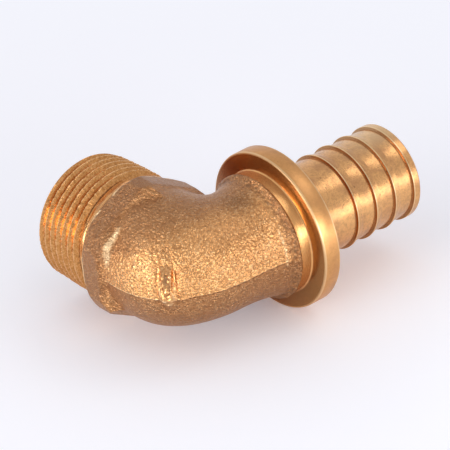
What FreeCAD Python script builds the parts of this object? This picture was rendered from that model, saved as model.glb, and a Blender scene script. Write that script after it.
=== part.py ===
import FreeCAD, Part
import math
import os
from FreeCAD import Vector

# Cast and turned brass elbow: a barbed nipple for plastic pipe along +X and a tapered male
# pipe thread along +Y. Millimetres, +Z up. The sub-parts are drawn from the crossing of the two
# arm axes, and the finished fitting is moved so that the thread's gauge plane is at the origin.

# Lengths of the two arms, from the crossing of their axes
thread_arm_length = 31.9
nipple_arm_length = 50.5

# Tapered pipe thread, three quarters of an inch, shown by its crests: parallel from the relief
# groove to a little past the gauge plane, and tapered from there to the mouth
thread_length = 15.1
thread_gauge_length = 9.5
thread_gauge_radius = 13.22
thread_parallel_past_gauge = 1.6
thread_taper = 1.0 / 32.0
thread_end_chamfer = 1.0
thread_end_drop = 0.75
relief_width = 1.3
relief_depth = 1.15
relief_ramp = 0.7
turned_ring_width = 0.45
turned_ring_radius = 13.85

# Hexagonal wrench boss behind the thread
boss_across_flats = 27.6
boss_height_share = 0.97
boss_corner_radius = 14.75
boss_flat_length = 5.2
boss_slope_length = 4.2
boss_slope_drop = 2.1
boss_foot_lean = 1.1
boss_end_chamfer = 0.4
boss_drop = 0.35
boss_neck_radius = 12.9
shoulder_radius = 13.1
tube_radius = 10.9
corner_radius = 17.0
crotch_radius = 1.8
flare_start = 8.0
flare_rise = 0.02
swell_start = 0.75
height_blend_start = 0.13
height_blend_length = 0.67

# Sand-cast lip of the neck and the turned band between it and the collar
lip_length = 2.4
lip_radius = 13.1
lip_chamfer = 0.45
lip_foot_sink = 0.5
lip_overlap = 0.4
band_length = 2.6
band_radius = 12.65
band_chamfer = 0.35

# Stop collar for the press sleeve
collar_face = 19.6
collar_thickness = 3.9
collar_radius = 16.4
collar_chamfer = 0.3

# Barbed nipple
root_length = 1.9
root_radius = 9.85
barrel_radius = 9.45
rib_radius = 9.98
rib_pitch = 4.92
rib_count = 4
rib_slope = 1.75
rib_shoulder = 0.18
last_rib_to_mouth = 1.8
mouth_bevel = 0.4
mouth_chamfer = 0.45

# Waterway
nipple_bore_radius = 7.3
thread_bore_radius = 9.3
thread_bore_depth = 17.0
core_radius = 8.4
core_cone_length = 1.6

# Stump of the casting gate on the outer corner: its broken face, and the draft of its sides
gate_width = 2.0
gate_length = 6.0
gate_height = 0.5
gate_draft = 0.35
gate_lift = 1.8
gate_turn = 7.0

# Control rings round the bend and control points in each ring
bend_stations = 13
ring_points = 16
SPLINE_DEGREE = 3

X_AXIS = Vector(1, 0, 0)
Y_AXIS = Vector(0, 1, 0)
Z_AXIS = Vector(0, 0, 1)
ORIGIN = Vector(0, 0, 0)
RIGHT_ANGLE = math.pi / 2.0
OVERLAP = 1.0

# Places that follow from the sizes above
boss_face = thread_arm_length - thread_length
boss_back = boss_face - boss_flat_length - boss_slope_length * swell_start
neck_end = collar_face - band_length
nipple_start = collar_face + collar_thickness
thread_gauge_plane = thread_arm_length - thread_gauge_length
taper_start = thread_gauge_plane + thread_parallel_past_gauge
pivot_x = boss_neck_radius + crotch_radius
corner_centre = Vector(corner_radius - shoulder_radius, corner_radius - tube_radius, 0)


def tube_radius_at(x):
    """Outer radius of the nipple side of the casting, which flares towards the collar."""
    return tube_radius + flare_rise * max(0.0, x - flare_start) ** 2


pivot_y = tube_radius_at(pivot_x) + crotch_radius
PIVOT = Vector(pivot_x, pivot_y, 0)


def shoulder_radius_at(y):
    """Outer radius of the thread side of the casting, which swells behind the boss."""
    swell = smooth_step((boss_back - y) / (boss_back - corner_centre.y))
    return boss_neck_radius + (shoulder_radius - boss_neck_radius) * swell


def thread_radius_at(y):
    """Crest radius of the thread at a distance y along its arm."""
    return thread_gauge_radius - thread_taper * max(0.0, y - taper_start)


def smooth_step(share):
    """Ease from 0 to 1 with level ends."""
    share = min(1.0, max(0.0, share))
    return share * share * (3.0 - 2.0 * share)


def turned(points, axis):
    """Solid of revolution from (along, radius) corners, closed on the axis."""
    side = Y_AXIS if axis == X_AXIS else X_AXIS
    outline = [(points[0][0], 0.0)] + list(points) + [(points[-1][0], 0.0)]
    corners = [axis * along + side * radius for along, radius in outline]
    wire = Part.makePolygon(corners + [corners[0]])
    return Part.Face(wire).revolve(ORIGIN, axis, 360)


def outline_distance(angle):
    """Distance from the bend pivot to the outer outline in plan, at an angle from -X to -Y."""
    ray = Vector(-math.cos(angle), -math.sin(angle), 0)
    to_centre = corner_centre - PIVOT
    along = to_centre.dot(ray)
    across = to_centre.sub(ray * along).Length
    on_corner = along + math.sqrt(max(0.0, corner_radius ** 2 - across ** 2))
    hit = PIVOT + ray * on_corner
    if hit.y > corner_centre.y:
        reach = (pivot_x + shoulder_radius) / math.cos(angle)
        return (pivot_x + shoulder_radius_at(pivot_y - reach * math.sin(angle))) / math.cos(angle)
    if hit.x > corner_centre.x:
        reach = (pivot_y + tube_radius) / math.sin(angle)
        for _ in range(8):
            reach = (pivot_y + tube_radius_at(pivot_x - reach * math.cos(angle))) / math.sin(angle)
        return reach
    return on_corner


def control_ring(centre, across, half_width, half_height):
    """Control points of a smooth oval, wide along a level direction and high along Z."""
    step = 2.0 * math.pi / ring_points
    spread = 3.0 / (2.0 + math.cos(step))
    points = []
    for i in range(ring_points):
        level = half_width * spread * math.cos(step * i)
        upright = half_height * spread * math.sin(step * i)
        points.append(centre + across * level + Z_AXIS * upright)
    return points


def skinned(rings):
    """Solid whose side is one smooth surface over rings of control points, with flat ends."""
    poles = [[ring[i] for ring in rings] for i in range(ring_points)]
    along_knots = list(range(len(rings) - SPLINE_DEGREE + 1))
    along_mults = [1] * len(along_knots)
    along_mults[0] = along_mults[-1] = SPLINE_DEGREE + 1
    round_knots = list(range(ring_points + 1))
    surface = Part.BSplineSurface()
    surface.buildFromPolesMultsKnots(
        poles, [1] * len(round_knots), along_mults, round_knots, along_knots, True, False, SPLINE_DEGREE, SPLINE_DEGREE
    )
    start, end = (surface.vIso(knot).toShape() for knot in (along_knots[0], along_knots[-1]))
    faces = [surface.toShape(), Part.Face(Part.Wire([start])), Part.Face(Part.Wire([end]))]
    shell = Part.Shell(faces)
    shell.sewShape()
    solid = Part.Solid(Part.Shell(shell.Faces))
    if solid.Volume < 0:
        solid.reverse()
    return solid


def bend_section(angle):
    """Section of the casting on the half plane that leaves the bend pivot at an angle."""
    ray = Vector(-math.cos(angle), -math.sin(angle), 0)
    outer = outline_distance(angle)
    half_width = (outer - crotch_radius) / 2.0
    centre = PIVOT + ray * (crotch_radius + half_width)
    thread_side = shoulder_radius_at(centre.y)
    nipple_side = tube_radius_at(centre.x)
    blend = smooth_step((angle / RIGHT_ANGLE - height_blend_start) / height_blend_length)
    half_height = thread_side + (nipple_side - thread_side) * blend
    return control_ring(centre, ray, half_width, half_height)


def elbow_casting():
    """Outer form of the cast bend, from inside the boss round to the neck."""
    front = Vector(0, boss_face - boss_end_chamfer, 0)
    rings = [control_ring(front, -X_AXIS, boss_neck_radius, boss_neck_radius)]
    for i in range(bend_stations):
        rings.append(bend_section(RIGHT_ANGLE * i / (bend_stations - 1)))
    lip_start = neck_end - lip_length * lip_overlap
    end_radius = tube_radius_at(lip_start)
    rings.append(control_ring(Vector(lip_start, 0, 0), -Y_AXIS, end_radius, end_radius))
    return skinned(rings)


def hexagon(y, apothem, lean):
    """Outline of the boss at a place along the thread arm, leaning towards the nipple."""
    corner = apothem / math.cos(math.pi / 6.0)
    points = []
    for i in range(6):
        turn = math.radians(30.0 + 60.0 * i)
        height = corner * math.sin(turn) * boss_height_share - boss_drop
        points.append(Vector(lean + corner * math.cos(turn), y, height))
    return Part.makePolygon(points + [points[0]])


def wrench_boss():
    """Hexagon with turned corners, that narrows behind its flats until the bend covers it."""
    flat_start = boss_face - boss_flat_length
    foot = flat_start - boss_slope_length
    flat_radius = boss_across_flats / 2.0
    prism = Part.makeLoft(
        [
            hexagon(foot, flat_radius - boss_slope_drop, boss_foot_lean),
            hexagon(flat_start, flat_radius, 0.0),
            hexagon(boss_face, flat_radius, 0.0),
        ],
        True,
        True,
    )
    limit = turned(
        [
            (foot - OVERLAP, boss_corner_radius),
            (boss_face - boss_end_chamfer, boss_corner_radius),
            (boss_face, boss_corner_radius - boss_end_chamfer),
        ],
        Y_AXIS,
    )
    limit.translate(Vector(0, 0, -boss_drop))
    return prism.common(limit)


def threaded_arm():
    """Turned end of the thread arm: ring, relief groove, crest cone of the thread and mouth."""
    ring_start = boss_face - turned_ring_width
    relief_end = boss_face + turned_ring_width + relief_width
    root = thread_radius_at(relief_end) - relief_depth
    crest_start = relief_end + relief_ramp
    chamfer_start = thread_arm_length - thread_end_chamfer
    return turned(
        [
            (ring_start, boss_neck_radius),
            (ring_start, turned_ring_radius),
            (boss_face, turned_ring_radius),
            (boss_face + turned_ring_width, turned_ring_radius - turned_ring_width),
            (boss_face + turned_ring_width, root),
            (relief_end, root),
            (crest_start, thread_radius_at(crest_start)),
            (taper_start, thread_radius_at(taper_start)),
            (chamfer_start, thread_radius_at(chamfer_start)),
            (thread_arm_length, thread_radius_at(thread_arm_length) - thread_end_drop),
        ],
        Y_AXIS,
    )


def neck_and_collar():
    """Cast lip, turned band and stop collar on the nipple arm."""
    lip_start = neck_end - lip_length
    lip_foot = tube_radius_at(lip_start) - lip_foot_sink
    lip_peak = neck_end - lip_chamfer
    collar_back = collar_face + collar_thickness
    return turned(
        [
            (lip_start, lip_foot),
            (lip_peak, lip_radius),
            (neck_end, lip_radius - lip_chamfer),
            (neck_end, band_radius),
            (collar_face - band_chamfer, band_radius),
            (collar_face, band_radius + band_chamfer),
            (collar_face, collar_radius - collar_chamfer),
            (collar_face + collar_chamfer, collar_radius),
            (collar_back - collar_chamfer, collar_radius),
            (collar_back, collar_radius - collar_chamfer),
            (collar_back, root_radius),
        ],
        X_AXIS,
    )


def barbed_nipple():
    """Turned nipple: root, barrel and ribs with a steep shoulder towards the collar."""
    root_end = nipple_start + root_length
    corners = [
        (nipple_start - OVERLAP, root_radius),
        (root_end, root_radius),
        (root_end + (root_radius - barrel_radius), barrel_radius),
    ]
    last_shoulder = nipple_arm_length - last_rib_to_mouth
    for i in reversed(range(rib_count)):
        shoulder = last_shoulder - rib_pitch * i
        corners.append((shoulder - rib_shoulder, barrel_radius))
        corners.append((shoulder, rib_radius))
        if i > 0:
            corners.append((shoulder + rib_slope, barrel_radius))
    corners.append((nipple_arm_length - mouth_bevel, rib_radius))
    corners.append((nipple_arm_length, rib_radius - mouth_bevel))
    return turned(corners, X_AXIS)


def gate_stump():
    """Low drafted block left on the outer corner where the casting gate was broken off."""
    angle = 225.0 - gate_turn
    depth = gate_height + gate_length / 4.0
    spread = gate_draft * depth
    face = gate_outline(0.0, gate_width / 2.0, gate_length / 2.0)
    foot = gate_outline(-depth, gate_width / 2.0 + spread, gate_length / 2.0 + spread)
    block = Part.makeLoft([foot, face], True, True)
    block.rotate(ORIGIN, Z_AXIS, angle)
    outward = Vector(math.cos(math.radians(angle)), math.sin(math.radians(angle)), 0)
    block.translate(corner_centre + outward * (corner_radius + gate_height) + Z_AXIS * gate_lift)
    return block


def gate_outline(out, half_width, half_length):
    """Rectangle across the gate, at a distance out along X."""
    corners = [
        Vector(out, half_width, half_length),
        Vector(out, -half_width, half_length),
        Vector(out, -half_width, -half_length),
        Vector(out, half_width, -half_length),
    ]
    return Part.makePolygon(corners + [corners[0]])


def waterway():
    """Cored bend with the two turned bores that open it at the mouths."""
    along_nipple = turned(
        [
            (0.0, core_radius),
            (tube_radius, core_radius),
            (tube_radius + core_cone_length, nipple_bore_radius),
            (nipple_arm_length - mouth_chamfer, nipple_bore_radius),
            (nipple_arm_length + OVERLAP, nipple_bore_radius + mouth_chamfer + OVERLAP),
        ],
        X_AXIS,
    )
    bore_start = thread_arm_length - thread_bore_depth
    along_thread = turned(
        [
            (0.0, core_radius),
            (bore_start - core_cone_length, core_radius),
            (bore_start, thread_bore_radius),
            (thread_arm_length - mouth_chamfer, thread_bore_radius),
            (thread_arm_length + OVERLAP, thread_bore_radius + mouth_chamfer + OVERLAP),
        ],
        Y_AXIS,
    )
    knee = Part.makeSphere(core_radius)
    return along_nipple.fuse([along_thread, knee])


def main():
    os.makedirs("parts", exist_ok=True)
    pieces = [wrench_boss(), threaded_arm(), neck_and_collar(), barbed_nipple(), gate_stump()]
    outside = elbow_casting().fuse(pieces)
    fitting = outside.cut(waterway()).removeSplitter()
    fitting.translate(Y_AXIS * -thread_gauge_plane)
    solid = fitting.Solids[0]
    print("solids", len(fitting.Solids), "valid", solid.isValid(), "volume", round(solid.Volume, 1))
    solid.exportStep("parts/elbow_fitting.step")


main()
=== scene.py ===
"""Brass pipe elbow: sand-cast bend with a wrench boss, a cut pipe thread and a ribbed pipe nipple.

The three pieces are the casting, the turned thread arm and the turned nipple with its stop
collar. Sizes are in millimetres, measured from the crossing of the two arm axes, and become
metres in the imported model's frame when a point is placed.
"""
import logging
import math
from dataclasses import dataclass, field
from enum import Enum
from typing import Callable, Iterable, Sequence

import bmesh
import bpy
import numpy as np
from mathutils import Matrix, Vector, noise


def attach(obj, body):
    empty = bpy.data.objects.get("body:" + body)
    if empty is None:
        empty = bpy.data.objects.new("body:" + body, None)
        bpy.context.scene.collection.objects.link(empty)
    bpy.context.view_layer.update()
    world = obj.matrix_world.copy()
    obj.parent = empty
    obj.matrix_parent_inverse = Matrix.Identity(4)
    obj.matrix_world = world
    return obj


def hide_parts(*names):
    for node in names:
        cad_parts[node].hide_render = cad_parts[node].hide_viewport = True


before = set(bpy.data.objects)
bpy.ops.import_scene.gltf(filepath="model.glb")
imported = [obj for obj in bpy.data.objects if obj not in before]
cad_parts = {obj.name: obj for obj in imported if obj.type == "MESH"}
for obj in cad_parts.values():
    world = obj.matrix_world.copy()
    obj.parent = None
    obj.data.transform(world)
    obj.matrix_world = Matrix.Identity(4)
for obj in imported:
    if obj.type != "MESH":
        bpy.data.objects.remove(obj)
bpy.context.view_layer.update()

logging.basicConfig(level=logging.INFO, format="%(message)s")
log = logging.getLogger("elbow")

MM = 0.001
GAUGE_PLANE = 22.4
UP = Vector((0.0, 0.0, 1.0))
QUARTER_TURN = 0.5 * math.pi
FULL_TURN = 2.0 * math.pi
DOUBLED = 0.002 * MM
NODE = "elbow_fitting"
Piece = bpy.types.Object
Socket = bpy.types.NodeSocket


class Arm(Enum):
    """The two arms of the elbow, by the direction that each runs in from the crossing."""

    NIPPLE = (1.0, 0.0, 0.0)
    THREAD = (0.0, 1.0, 0.0)


def place(point: Sequence[float]) -> Vector:
    """Turns a point in millimetres from the crossing into metres in the model's frame."""
    return Vector((point[0], point[1] - GAUGE_PLANE, point[2])) * MM


def on_arm(arm: Arm, along: float, radius: float) -> Vector:
    """Places a point at a distance along an arm and a height above its axis."""
    return place(Vector(arm.value) * along + UP * radius)


def ramp(value: float | np.ndarray, low: float, high: float) -> float | np.ndarray:
    """Eases a value, or each of an array, from 0 at low to 1 at high with level ends."""
    share = np.clip((value - low) / (high - low), 0.0, 1.0)
    return share * share * (3.0 - 2.0 * share)


def bell(value: np.ndarray, middle: float | np.ndarray, width: float) -> np.ndarray:
    """Rises to 1 at the middle and dies away within about two widths of it."""
    return np.exp(-(((value - middle) / width) ** 2))


class Bench:
    """The bench moves that every piece is shaped with."""

    @staticmethod
    def clear() -> None:
        """Goes to object mode with nothing selected."""
        if bpy.context.object is not None and bpy.context.object.mode != "OBJECT":
            bpy.ops.object.mode_set(mode="OBJECT")
        bpy.ops.object.select_all(action="DESELECT")

    @staticmethod
    def hold(piece: Piece) -> None:
        """Selects one piece alone and makes it the active one.

        Args:
            piece: The piece to work on.
        """
        Bench.clear()
        bpy.context.view_layer.objects.active = piece
        piece.select_set(True)

    @staticmethod
    def start(name: str, primitive: Callable, **settings: object) -> Piece:
        """Adds a primitive with nothing else selected, names it and applies its place.

        Args:
            name: The new piece's name.
            primitive: The operator that adds it.
            **settings: Its sizes and place.

        Returns:
            The new piece, in object mode.
        """
        Bench.clear()
        primitive(**settings)
        piece = bpy.context.object
        piece.name = piece.data.name = name
        bpy.ops.object.transform_apply(location=True, rotation=True, scale=True)
        return piece

    @staticmethod
    def select_all() -> None:
        """Selects the whole of the piece that is open."""
        bpy.ops.mesh.select_all(action="SELECT")

    @staticmethod
    def edit(piece: Piece, mode: str = "VERT") -> None:
        """Opens one piece in edit mode with all of it selected.

        Args:
            piece: The piece to open.
            mode: The select mode, VERT, EDGE or FACE.
        """
        Bench.hold(piece)
        bpy.ops.object.mode_set(mode="EDIT")
        bpy.ops.mesh.select_mode(type=mode)
        Bench.select_all()

    @staticmethod
    def draw_section(name: str, spots: Sequence[Vector]) -> Piece:
        """Draws a section line by extruding one point from spot to spot.

        Args:
            name: The new piece's name.
            spots: The places of the line's points in metres.

        Returns:
            The piece, left in edit mode with its last point selected.
        """
        piece = Bench.start(name, bpy.ops.mesh.primitive_plane_add, size=MM, location=(0.0, 0.0, 0.0))
        Bench.edit(piece)
        bpy.ops.mesh.merge(type="CENTER")
        bpy.ops.transform.translate(value=spots[0])
        for before, after in zip(spots, spots[1:]):
            bpy.ops.mesh.extrude_region_move(TRANSFORM_OT_translate={"value": after - before})
        return piece

    @staticmethod
    def turn(name: str, arm: Arm, line: Sequence[tuple[float, float]], steps: int) -> Piece:
        """Turns a piece on the lathe: draws its section line and spins it once round an arm's axis.

        Args:
            name: The new piece's name.
            arm: The arm that it is turned on.
            line: Distances along the arm and radii.
            steps: Number of steps in the full turn.

        Returns:
            The turned piece.
        """
        piece = Bench.draw_section(name, [on_arm(arm, along, radius) for along, radius in line])
        Bench.select_all()
        bpy.ops.mesh.spin(steps=steps, angle=FULL_TURN, center=place((0, 0, 0)), axis=arm.value)
        Bench.weld()
        Bench.clear()
        return piece

    @staticmethod
    def weld() -> None:
        """Merges doubled points of the piece that is open and turns every face outward."""
        Bench.select_all()
        bpy.ops.mesh.remove_doubles(threshold=DOUBLED)
        bpy.ops.mesh.normals_make_consistent(inside=False)
        bpy.ops.mesh.select_all(action="DESELECT")

    @staticmethod
    def pick(piece: Piece, kind: str, wanted: Callable) -> int:
        """Selects the edges or faces that a test wants, and nothing else.

        Args:
            piece: The piece, in edit mode.
            kind: What is picked, EDGE or FACE.
            wanted: The test, by place, direction or number.

        Returns:
            How many are selected.
        """
        bpy.ops.mesh.select_mode(type=kind)
        bpy.ops.mesh.select_all(action="DESELECT")
        mesh = bmesh.from_edit_mesh(piece.data)
        parts = mesh.edges if kind == "EDGE" else mesh.faces
        parts.index_update()
        found = [part for part in parts if wanted(part)]
        for part in found:
            part.select_set(True)
        bmesh.update_edit_mesh(piece.data)
        return len(found)

    @staticmethod
    def carry(piece: Piece, matrix: Matrix) -> None:
        """Moves what is selected by one transform.

        Args:
            piece: The piece, in edit mode.
            matrix: The transform, in metres.
        """
        mesh = bmesh.from_edit_mesh(piece.data)
        chosen = [vertex for vertex in mesh.verts if vertex.select]
        bmesh.ops.transform(mesh, matrix=matrix, verts=chosen)
        bmesh.update_edit_mesh(piece.data)

    @staticmethod
    def draw_ring(piece: Piece, arm: Arm, along: float, radius: float) -> None:
        """Extrudes the selected ring of edges and sets it on a true circle round an arm.

        Args:
            piece: The piece, in edit mode.
            arm: The arm whose axis the circle is on.
            along: The circle's distance from the crossing.
            radius: The circle's radius.
        """
        bpy.ops.mesh.extrude_region_move(TRANSFORM_OT_translate={"value": (0.0, 0.0, 0.0)})
        mesh = bmesh.from_edit_mesh(piece.data)
        axis, centre = Vector(arm.value), on_arm(arm, along, 0.0)
        for vertex in mesh.verts:
            if vertex.select:
                outward = vertex.co - centre
                outward -= axis * outward.dot(axis)
                vertex.co = centre + outward.normalized() * radius * MM
        bmesh.update_edit_mesh(piece.data)

    @staticmethod
    def apply(piece: Piece, kind: str, **settings: object) -> None:
        """Adds one modifier with its settings and applies it.

        Args:
            piece: The piece to change.
            kind: The modifier's type.
            **settings: The modifier's values by name.
        """
        Bench.hold(piece)
        modifier = piece.modifiers.new(kind.lower(), kind)
        for name, value in settings.items():
            setattr(modifier, name, value)
        bpy.ops.object.modifier_apply(modifier=modifier.name)

    @staticmethod
    def cut(piece: Piece, operation: str, tool: Piece) -> None:
        """Cuts a piece by a helper shape, which has then done its work.

        Args:
            piece: The piece to cut.
            operation: DIFFERENCE or INTERSECT.
            tool: The closed helper shape.
        """
        Bench.apply(piece, "BOOLEAN", operation=operation, object=tool, solver="EXACT")
        bpy.data.objects.remove(tool, do_unlink=True)

    @staticmethod
    def join(pieces: Sequence[Piece]) -> Piece:
        """Joins pieces into the first of them.

        Args:
            pieces: The pieces, the one that is kept first.

        Returns:
            The joined piece.
        """
        Bench.clear()
        for piece in pieces:
            piece.select_set(True)
        bpy.context.view_layer.objects.active = pieces[0]
        bpy.ops.object.join()
        return pieces[0]


def points_of(piece: Piece) -> np.ndarray:
    """Reads a piece's points in millimetres from the crossing.

    Args:
        piece: The piece, in object mode.

    Returns:
        One row of three coordinates a point.
    """
    flat = np.empty(len(piece.data.vertices) * 3)
    piece.data.vertices.foreach_get("co", flat)
    return flat.reshape(-1, 3) / MM + np.array((0.0, GAUGE_PLANE, 0.0))


def normals_of(piece: Piece) -> np.ndarray:
    """Reads a piece's point normals.

    Args:
        piece: The piece, in object mode.

    Returns:
        One row of three parts a point.
    """
    flat = np.empty(len(piece.data.vertices) * 3, dtype=np.float32)
    piece.data.vertex_normals.foreach_get("vector", flat)
    return flat.reshape(-1, 3).astype(float)


def set_points(piece: Piece, points: np.ndarray) -> None:
    """Writes a piece's points, given in millimetres from the crossing.

    Args:
        piece: The piece, in object mode.
        points: One row of three coordinates a point.
    """
    moved = (points - np.array((0.0, GAUGE_PLANE, 0.0))) * MM
    piece.data.vertices.foreach_set("co", moved.ravel())
    piece.data.update()


def cloud(points: np.ndarray, size: float, seed: float = 0.0) -> np.ndarray:
    """Smooth noise at each point, from about -1 to 1, in lumps of one size in millimetres."""
    return np.array([noise.noise(Vector(row)) for row in points / size + seed])


def pebbles(points: np.ndarray, size: float, seed: float = 0.0) -> np.ndarray:
    """Rounded grains of one size in millimetres, 1 in a grain's middle and 0 between grains."""
    near = np.array([noise.voronoi(Vector(row))[0][:2] for row in points / size + seed])
    return np.clip(near[:, 1] - near[:, 0], 0.0, 1.0)


def ride_on_root(piece: Piece, finish: bpy.types.Material, angle: float) -> None:
    """Shades a finished piece, gives it its finish and puts it on the body.

    Args:
        piece: The finished piece.
        finish: Its material.
        angle: Edges sharper than this, in degrees, stay sharp.
    """
    Bench.hold(piece)
    bpy.ops.object.shade_smooth_by_angle(angle=math.radians(angle))
    piece.data.materials.clear()
    piece.data.materials.append(finish)
    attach(piece, "root")
    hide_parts(NODE)
    piece.select_set(False)
    log.info("%s: %d faces", piece.name, len(piece.data.polygons))


@dataclass(frozen=True)
class Casting:
    """The sand casting: bend, wrench boss, neck lip, gate stump and the cored waterway."""

    neck_radius: float = 12.9
    shoulder_radius: float = 13.1
    tube_radius: float = 10.9
    corner_radius: float = 17.0
    crotch_radius: float = 1.8
    flare_start: float = 8.0
    flare_rise: float = 0.02
    stations: int = 13
    ring_points: int = 16
    front: float = 15.7
    lip_ring: float = 16.04
    lip_line: tuple = ((14.6, 0.0), (14.6, 10.6), (16.5, 13.05), (16.75, 13.05), (17.3, 12.3), (17.3, 0.0))
    boss_back: float = 9.3
    boss_foot: float = 7.4
    boss_knee: float = 11.6
    boss_end: float = 16.62
    boss_edge: float = 1.3
    across_flats: float = 27.6
    height_share: float = 0.97
    over_corners: float = 14.75
    foot_drop: float = 2.1
    foot_lean: float = 1.1
    boss_drop: float = 0.35
    core_radius: float = 8.4
    core_bend: float = 9.6
    core_start: float = 2.4
    nipple_core: tuple = ((10.9, 8.4), (12.5, 7.3), (12.6, 8.2), (20.0, 8.2))
    thread_core: tuple = ((13.3, 8.4), (14.9, 9.3), (15.0, 10.8), (19.0, 10.8))
    gate_angle: float = 218.0
    gate_lift: float = 2.2
    gate_middle: float = 2.6
    gate_sink: float = 0.75
    gate_size: tuple = (2.1, 2.5, 7.4)
    gate_taper: float = 0.72
    seam_step: float = 0.62
    voxel: float = 0.235

    @property
    def corner_centre(self) -> Vector:
        """Middle of the bend's outer arc."""
        return Vector((self.corner_radius - self.shoulder_radius, self.corner_radius - self.tube_radius, 0.0))

    @property
    def pivot(self) -> Vector:
        """Middle of the crotch arc, which the sections fan out from."""
        across = self.neck_radius + self.crotch_radius
        return Vector((across, self.tube_at(across) + self.crotch_radius, 0.0))

    def tube_at(self, along: float) -> float:
        """Outer radius of the nipple side, which flares towards the collar."""
        return self.tube_radius + self.flare_rise * max(0.0, along - self.flare_start) ** 2

    def shoulder_at(self, along: float) -> float:
        """Outer radius of the thread side, which swells behind the boss."""
        swell = float(ramp(along, self.boss_back, self.corner_centre.y))
        return self.neck_radius + (self.shoulder_radius - self.neck_radius) * swell

    def outline(self, angle: float) -> float:
        """Distance from the crotch middle to the outer outline in plan.

        Args:
            angle: Angle from the cross-wise section towards the lengthwise one, in radians.

        Returns:
            The distance in millimetres.
        """
        ray = Vector((-math.cos(angle), -math.sin(angle), 0.0))
        to_centre = self.corner_centre - self.pivot
        along = to_centre.dot(ray)
        across = (to_centre - ray * along).length
        on_corner = along + math.sqrt(max(0.0, self.corner_radius**2 - across**2))
        hit = self.pivot + ray * on_corner
        if hit.y > self.corner_centre.y:
            reach = (self.pivot.x + self.shoulder_radius) / math.cos(angle)
            there = self.shoulder_at(self.pivot.y - reach * math.sin(angle))
            return (self.pivot.x + there) / math.cos(angle)
        if hit.x > self.corner_centre.x:
            reach = (self.pivot.y + self.tube_radius) / math.sin(angle)
            for _ in range(8):
                flared = self.tube_at(self.pivot.x - reach * math.cos(angle))
                reach = (self.pivot.y + flared) / math.sin(angle)
            return reach
        return on_corner

    def section(self, centre: Vector, across: Vector, half_width: float, half_height: float) -> Matrix:
        """Frame of one oval section, in metres.

        Args:
            centre: The section's middle from the crossing.
            across: Its level direction.
            half_width: Half its width along that direction.
            half_height: Half its height.

        Returns:
            The transform that takes a unit circle in the XZ plane to the section.
        """
        spread = 3.0 / (2.0 + math.cos(FULL_TURN / self.ring_points)) * MM
        sides = (across * half_width * spread, UP.cross(across) * MM, UP * half_height * spread)
        frame_of = Matrix(sides).transposed().to_4x4()
        frame_of.translation = place(centre)
        return frame_of

    def sections(self) -> list[Matrix]:
        """Works out the sections from inside the boss round to the neck.

        Returns:
            Their frames in order.
        """
        neck = self.neck_radius
        found = [self.section(Vector((0, self.front, 0)), Vector((-1, 0, 0)), neck, neck)]
        for index in range(self.stations):
            turned = index / (self.stations - 1)
            angle = QUARTER_TURN * turned
            ray = Vector((-math.cos(angle), -math.sin(angle), 0.0))
            half_width = (self.outline(angle) - self.crotch_radius) / 2.0
            centre = self.pivot + ray * (self.crotch_radius + half_width)
            thread_side, nipple_side = self.shoulder_at(centre.y), self.tube_at(centre.x)
            height = thread_side + (nipple_side - thread_side) * float(ramp(turned, 0.13, 0.80))
            found.append(self.section(centre, ray, half_width, height))
        end = self.tube_at(self.lip_ring)
        found.append(self.section(Vector((self.lip_ring, 0, 0)), Vector((0, -1, 0)), end, end))
        return found

    def bend(self) -> Piece:
        """Draws the bend as a cage of rings and rounds it by subdivision.

        Returns:
            The closed bend.
        """
        piece = Bench.start(
            "cast_elbow", bpy.ops.mesh.primitive_circle_add,
            vertices=self.ring_points, radius=1.0, fill_type="NOTHING", rotation=(QUARTER_TURN, 0.0, 0.0),
        )
        Bench.edit(piece)
        frames = self.sections()
        Bench.carry(piece, frames[0])
        for before, after in zip(frames, frames[1:]):
            bpy.ops.mesh.extrude_region_move(TRANSFORM_OT_translate={"value": (0.0, 0.0, 0.0)})
            Bench.carry(piece, after @ before.inverted())
        Bench.weld()
        Bench.apply(piece, "SUBSURF", levels=3, render_levels=3)
        Bench.edit(piece, "EDGE")
        bpy.ops.mesh.fill_holes(sides=0)
        Bench.weld()
        return piece

    def boss(self) -> Piece:
        """Cuts the wrench hexagon, which narrows behind its flats until the bend covers it.

        Returns:
            The closed boss.
        """
        flat = self.across_flats / 2.0
        middle = (self.boss_knee + self.boss_end) / 2.0
        piece = Bench.start(
            "boss", bpy.ops.mesh.primitive_cylinder_add, vertices=6,
            radius=flat / math.cos(math.pi / 6.0) * MM, depth=(self.boss_end - self.boss_knee) * MM,
            rotation=(QUARTER_TURN, 0.0, 0.0), location=place((0.0, middle, 0.0)),
        )
        Bench.edit(piece, "FACE")
        Bench.pick(piece, "FACE", lambda face: face.normal.y < -0.9)
        back = (self.foot_lean * MM, (self.boss_foot - self.boss_knee) * MM, 0.0)
        bpy.ops.mesh.extrude_region_move(TRANSFORM_OT_translate={"value": back})
        share = (flat - self.foot_drop) / flat
        foot = place((self.foot_lean, self.boss_foot, 0.0))
        bpy.ops.transform.resize(value=(share, 1.0, share), center_override=foot)
        Bench.select_all()
        bpy.ops.transform.resize(value=(1.0, 1.0, self.height_share), center_override=(0.0, 0.0, 0.0))
        Bench.weld()
        limit = (
            (self.boss_foot - 1.0, 0.0),
            (self.boss_foot - 1.0, self.over_corners),
            (self.boss_end - self.boss_edge, self.over_corners),
            (self.boss_end, self.over_corners - 1.0),
            (self.boss_end, 0.0),
        )
        Bench.cut(piece, "INTERSECT", Bench.turn("boss_limit", Arm.THREAD, limit, 96))
        Bench.edit(piece)
        bpy.ops.transform.translate(value=(0.0, 0.0, -self.boss_drop * MM))
        Bench.clear()
        return piece

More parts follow.
